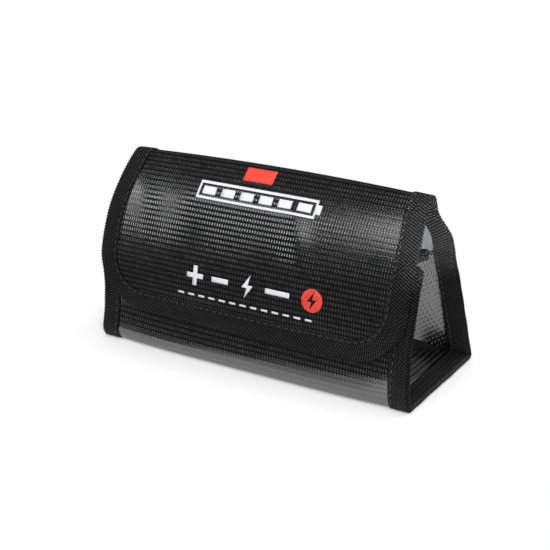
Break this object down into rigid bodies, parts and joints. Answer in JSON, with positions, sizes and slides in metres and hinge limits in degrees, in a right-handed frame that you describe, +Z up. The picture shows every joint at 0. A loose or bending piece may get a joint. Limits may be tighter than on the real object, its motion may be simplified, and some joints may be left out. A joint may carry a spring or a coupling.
{
  "type": "battery charging bag",
  "caption": "Free-standing fire-resistant bag for lithium-polymer packs: sewn pouch with bound edges, folded-in end gussets and a hook-and-loop flap hinged at the ridge.",
  "frame": {"origin": "middle of the base, on the surface the bag stands on", "axes": "+X along the bag, -Y is the front with the flap, +Z is up"},
  "size_m": [0.16, 0.0678, 0.086],
  "materials": {
    "coated_cloth": "glossy coated glass cloth",
    "lining_cloth": "silver-grey coated lining",
    "binding_tape": "matt ribbed tape",
    "fastener_strip": "hook-and-loop pile",
    "thread": "twisted sewing thread",
    "white_ink": "screen-printed ink",
    "red_ink": "screen-printed ink"
  },
  "bodies": {
    "pouch": {"outer_wrap": "coated_cloth", "inner_lining": "lining_cloth", "left_gusset": "coated_cloth", "right_gusset": "coated_cloth", "left_gusset_hem": "binding_tape", "right_gusset_hem": "binding_tape", "left_end_binding": "binding_tape", "right_end_binding": "binding_tape", "mouth_binding": "binding_tape", "loop_strip": "fastener_strip", "left_end_stitching": "thread", "right_end_stitching": "thread", "mouth_stitching": "thread", "loop_strip_stitching": "thread"},
    "flap": {"flap_panel": "coated_cloth", "flap_lining": "lining_cloth", "flap_binding": "binding_tape", "hook_strip": "fastener_strip", "flap_stitching": "thread", "hook_strip_stitching": "thread", "white_print": "white_ink", "red_print": "red_ink"}
  },
  "joints": [
    {"name": "flap_hinge", "type": "hinge", "parent": "pouch", "child": "flap", "pos_m": [0, -0.0044, 0.0862], "axis": [-1, 0, 0], "range_deg": [0, 175]}
  ]
}
